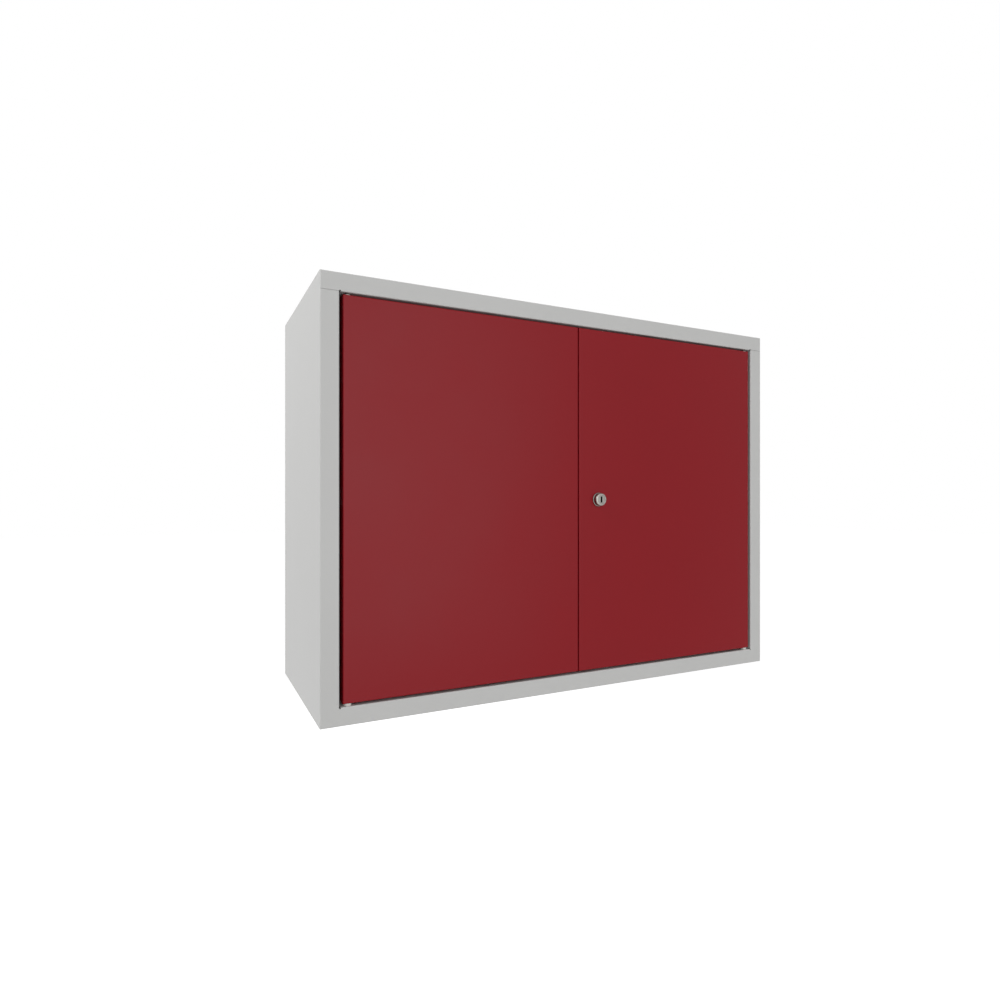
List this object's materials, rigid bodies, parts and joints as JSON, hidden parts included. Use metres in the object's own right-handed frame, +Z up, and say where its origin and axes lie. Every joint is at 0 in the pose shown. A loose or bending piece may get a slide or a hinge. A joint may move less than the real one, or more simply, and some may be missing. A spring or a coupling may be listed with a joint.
{
  "type": "wall cabinet",
  "caption": "Wall-hung steel tool cabinet with a pale grey folded body, inset red doors on pivot pins, a key lock with cam, slide bolts and an adjustable shelf.",
  "frame": {"origin": "middle of the four wall-fixing holes, on the back face that lies against the wall", "axes": "+X right as seen from the front, +Y into the wall (the doors face -Y), +Z up"},
  "size_m": [0.8, 0.318, 0.6],
  "materials": {
    "grey_powder_coat": "satin powder coat",
    "red_powder_coat": "satin powder coat",
    "zinc_steel": "bright zinc plate",
    "nickel": "satin nickel plate",
    "white_nylon": "natural nylon",
    "black_plastic": "moulded black",
    "rubber": "soft matt"
  },
  "bodies": {
    "carcass": {"top_panel": "grey_powder_coat", "bottom_panel": "grey_powder_coat", "left_side_panel": "grey_powder_coat", "right_side_panel": "grey_powder_coat", "back_panel": "grey_powder_coat", "wall_fixing_plates": "zinc_steel", "left_front_rail": "grey_powder_coat", "left_rear_rail": "grey_powder_coat", "right_front_rail": "grey_powder_coat", "right_rear_rail": "grey_powder_coat", "shelf": "grey_powder_coat", "shelf_clips": "zinc_steel", "upper_door_stops": "zinc_steel", "lower_door_stops": "zinc_steel", "door_buffers": "rubber", "left_upper_hinge_pin": "zinc_steel", "left_lower_hinge_pin": "zinc_steel", "right_upper_hinge_pin": "zinc_steel", "right_lower_hinge_pin": "zinc_steel"},
    "left_leaf": {"left_door": "red_powder_coat", "left_door_stiffener": "red_powder_coat", "left_hinge_plates": "zinc_steel", "left_upper_bush": "white_nylon", "left_lower_bush": "white_nylon", "upper_bolt_guide": "zinc_steel", "lower_bolt_guide": "zinc_steel", "bolt_guide_rivets": "zinc_steel"},
    "right_leaf": {"right_door": "red_powder_coat", "right_door_stiffener": "red_powder_coat", "right_hinge_plates": "zinc_steel", "right_upper_bush": "white_nylon", "right_lower_bush": "white_nylon", "lock_housing": "nickel", "lock_washer": "zinc_steel", "lock_nut": "nickel"},
    "lock_cylinder": {"lock_plug": "nickel", "lock_cam": "zinc_steel", "lock_cam_screw": "zinc_steel"},
    "upper_slide_bolt": {"upper_bolt": "zinc_steel", "upper_bolt_knob": "black_plastic"},
    "lower_slide_bolt": {"lower_bolt": "zinc_steel", "lower_bolt_knob": "black_plastic"}
  },
  "joints": [
    {"name": "left_door_swing", "type": "hinge", "parent": "carcass", "child": "left_leaf", "pos_m": [-0.363, -0.303, 0], "axis": [0, 0, -1], "range_deg": [0, 115]},
    {"name": "right_door_swing", "type": "hinge", "parent": "carcass", "child": "right_leaf", "pos_m": [0.363, -0.303, 0], "axis": [0, 0, 1], "range_deg": [0, 115]},
    {"name": "lock_turn", "type": "hinge", "parent": "right_leaf", "child": "lock_cylinder", "pos_m": [0.03775, -0.309, 0], "axis": [0, 1, 0], "range_deg": [0, 90]},
    {"name": "upper_bolt_slide", "type": "slide", "parent": "left_leaf", "child": "upper_slide_bolt", "axis": [0, 0, 1], "range_m": [0, 0.016]},
    {"name": "lower_bolt_slide", "type": "slide", "parent": "left_leaf", "child": "lower_slide_bolt", "axis": [0, 0, -1], "range_m": [0, 0.016]}
  ]
}
